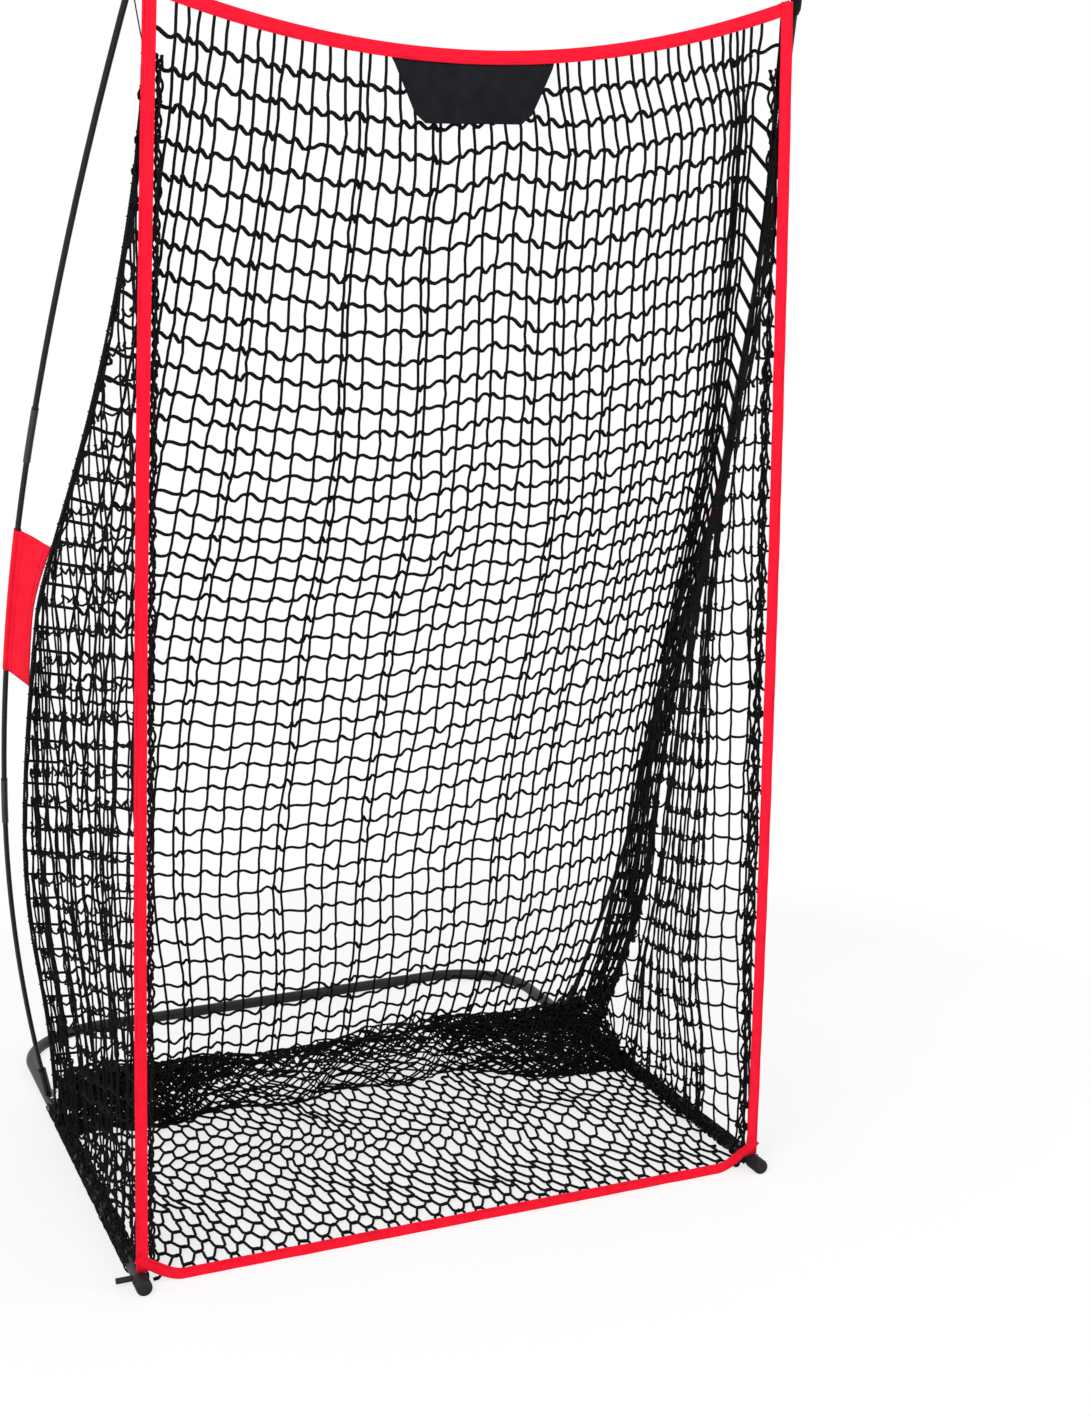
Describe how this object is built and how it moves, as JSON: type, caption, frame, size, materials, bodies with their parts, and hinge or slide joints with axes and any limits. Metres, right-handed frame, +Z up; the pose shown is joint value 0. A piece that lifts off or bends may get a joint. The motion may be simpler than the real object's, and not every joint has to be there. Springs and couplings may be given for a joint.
{
  "type": "pitching target net",
  "caption": "Free-standing pitching net: steel U base, two bowed poles and a knotted net bag behind a red-edged mouth.",
  "frame": {"origin": "on the ground below the middle of the whole net, end caps and rear bar included", "axes": "+Z up; the mouth faces -Y; +X to the right as seen from the mouth"},
  "size_m": [1.4268, 1.6781, 2.2001],
  "materials": {
    "coated_steel": "satin black powder coat",
    "button_steel": "zinc plated",
    "spring_steel": "plain spring strip",
    "rubber": "matt moulded",
    "fibreglass": "smooth pultruded rod",
    "ferrule": "satin black",
    "moulded_black": "moulded",
    "elastic": "braided elastic",
    "black_cord": "braided cord",
    "black_webbing": "tight weave",
    "red_webbing": "folded webbing",
    "red_cloth": "plain weave",
    "net_twine": "knotted twine"
  },
  "bodies": {
    "frame": {"rear_bar": "coated_steel", "corner_tube_left": "coated_steel", "corner_tube_right": "coated_steel", "side_rail_left": "coated_steel", "side_rail_right": "coated_steel", "spring_clip_rear_left": "spring_steel", "spring_clip_rear_right": "spring_steel", "spring_clip_side_left": "spring_steel", "spring_clip_side_right": "spring_steel", "end_cap_left": "rubber", "end_cap_right": "rubber", "cross_pin_left": "coated_steel", "cross_pin_right": "coated_steel", "pole_socket_left": "coated_steel", "pole_socket_right": "coated_steel", "pole_lower_left": "fibreglass", "pole_lower_right": "fibreglass", "pole_middle_left": "fibreglass", "pole_middle_right": "fibreglass", "pole_upper_left": "fibreglass", "pole_upper_right": "fibreglass", "ferrule_low_left": "ferrule", "ferrule_low_right": "ferrule", "ferrule_high_left": "ferrule", "ferrule_high_right": "ferrule", "shock_cord_left": "elastic", "shock_cord_right": "elastic", "pole_tip_left": "moulded_black", "pole_tip_right": "moulded_black", "corner_pocket_left": "black_webbing", "corner_pocket_right": "black_webbing", "corner_cord_left": "black_cord", "corner_cord_right": "black_cord", "side_band_left": "red_webbing", "side_band_right": "red_webbing", "top_band": "red_webbing", "bottom_band": "red_webbing", "header_patch": "black_webbing", "corner_tie_left": "black_cord", "corner_tie_right": "black_cord", "side_sleeve_left": "red_cloth", "side_sleeve_right": "red_cloth", "seam_rope_left": "net_twine", "seam_rope_right": "net_twine", "rear_net": "net_twine", "side_net_left": "net_twine", "side_net_right": "net_twine", "floor_net": "net_twine", "net_pile": "net_twine"},
    "button_rear_left": {"snap_button_rear_left": "button_steel"},
    "button_rear_right": {"snap_button_rear_right": "button_steel"},
    "button_side_left": {"snap_button_side_left": "button_steel"},
    "button_side_right": {"snap_button_side_right": "button_steel"}
  },
  "joints": [
    {"name": "press_rear_left", "type": "slide", "parent": "frame", "child": "button_rear_left", "axis": [0, 0, -1], "range_m": [0, 0.0046], "stiffness_N_per_m": 1500, "springref_m": -0.002, "deforming": ["spring_clip_rear_left"]},
    {"name": "press_rear_right", "type": "slide", "parent": "frame", "child": "button_rear_right", "axis": [0, 0, -1], "range_m": [0, 0.0046], "stiffness_N_per_m": 1500, "springref_m": -0.002, "deforming": ["spring_clip_rear_right"]},
    {"name": "press_side_left", "type": "slide", "parent": "frame", "child": "button_side_left", "axis": [0, 0, -1], "range_m": [0, 0.0046], "stiffness_N_per_m": 1500, "springref_m": -0.002, "deforming": ["spring_clip_side_left"]},
    {"name": "press_side_right", "type": "slide", "parent": "frame", "child": "button_side_right", "axis": [0, 0, -1], "range_m": [0, 0.0046], "stiffness_N_per_m": 1500, "springref_m": -0.002, "deforming": ["spring_clip_side_right"]}
  ]
}
